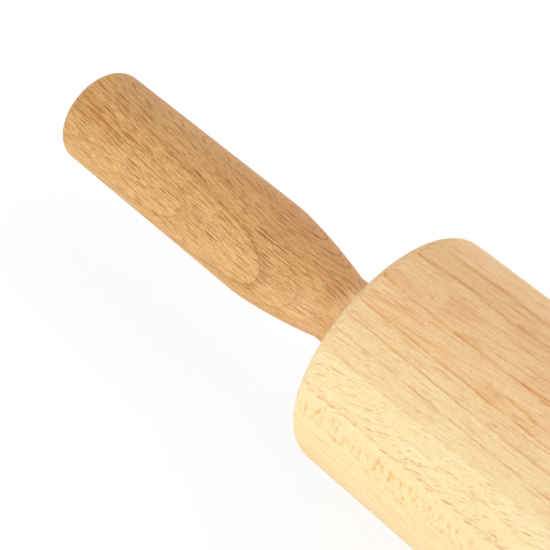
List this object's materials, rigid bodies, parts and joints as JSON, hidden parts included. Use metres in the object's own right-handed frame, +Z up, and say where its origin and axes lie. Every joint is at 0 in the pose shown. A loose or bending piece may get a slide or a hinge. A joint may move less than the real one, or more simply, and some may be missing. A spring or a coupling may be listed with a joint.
{
  "type": "rolling pin",
  "caption": "Beech rolling pin: a round barrel revolves on bushes around a steel axle that joins turned, flared handles.",
  "frame": {"origin": "the middle of the barrel, on the axle's centreline", "axes": "+X along the axle towards the handle that the picture doesn't show (right_handle), the pictured handle is at -X, +Z up"},
  "size_m": [0.45, 0.06, 0.06],
  "materials": {
    "barrel_beech": "sanded smooth, bare",
    "left_handle_beech": "sanded smooth, bare",
    "right_handle_beech": "sanded smooth, bare",
    "axle_steel": "drawn bar",
    "bush_nylon": "moulded, natural nylon",
    "washer_steel": "zinc plated"
  },
  "bodies": {
    "grips": {"axle": "axle_steel", "left_handle": "left_handle_beech", "right_handle": "right_handle_beech", "left_washer": "washer_steel", "right_washer": "washer_steel"},
    "barrel": {"barrel": "barrel_beech", "left_bush": "bush_nylon", "right_bush": "bush_nylon"}
  },
  "joints": [
    {"name": "barrel_spin", "type": "hinge", "parent": "grips", "child": "barrel", "pos_m": [0, 0, 0], "axis": [1, 0, 0], "continuous": true}
  ]
}
